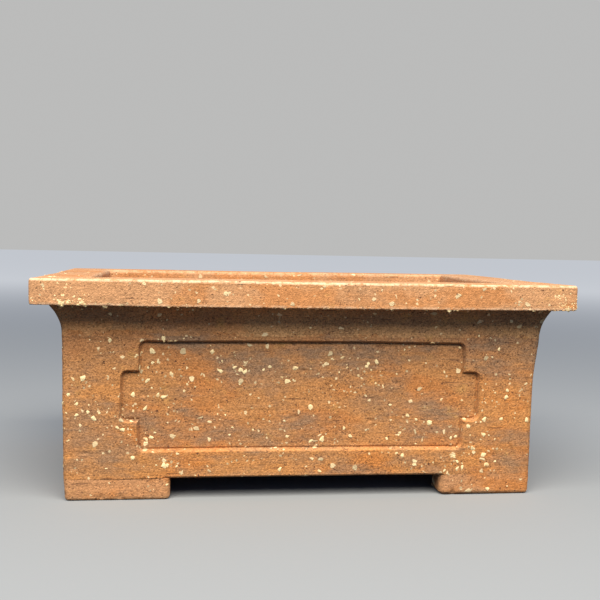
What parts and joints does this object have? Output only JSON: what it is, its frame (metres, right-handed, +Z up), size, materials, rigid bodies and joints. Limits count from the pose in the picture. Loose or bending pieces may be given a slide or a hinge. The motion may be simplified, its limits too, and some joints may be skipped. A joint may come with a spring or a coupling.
{
  "type": "bonsai pot",
  "caption": "Rectangular unglazed stoneware bonsai pot with a flat projecting lip, sunk notched panels and bracket feet.",
  "frame": {"origin": "centre of the footprint, at the level that the feet stand on", "axes": "+X along the pot's length, -Y towards the front, +Z up"},
  "size_m": [0.15, 0.102, 0.0614],
  "materials": {
    "lip_clay": "matt unglazed stoneware, sandy orange-brown with cream grog",
    "wall_clay": "matt unglazed stoneware, brown with cream grog and dark pits, wiped smooth",
    "cove_clay": "matt unglazed stoneware, smoothed by a finger",
    "foot_clay": "matt unglazed stoneware, sandy orange-brown with cream grog",
    "floor_clay": "matt unglazed stoneware, left rough",
    "seam_clay": "matt unglazed stoneware, pressed in by hand"
  },
  "bodies": {
    "root": {"floor_slab": "floor_clay", "front_wall": "wall_clay", "right_wall": "wall_clay", "back_wall": "wall_clay", "left_wall": "wall_clay", "front_cove": "cove_clay", "right_cove": "cove_clay", "back_cove": "cove_clay", "left_cove": "cove_clay", "front_lip": "lip_clay", "right_lip": "lip_clay", "back_lip": "lip_clay", "left_lip": "lip_clay", "front_left_foot": "foot_clay", "front_right_foot": "foot_clay", "back_right_foot": "foot_clay", "back_left_foot": "foot_clay", "front_floor_seam": "seam_clay", "right_floor_seam": "seam_clay", "back_floor_seam": "seam_clay", "left_floor_seam": "seam_clay", "front_left_corner_seam": "seam_clay", "front_right_corner_seam": "seam_clay", "back_right_corner_seam": "seam_clay", "back_left_corner_seam": "seam_clay"}
  },
  "joints": []
}
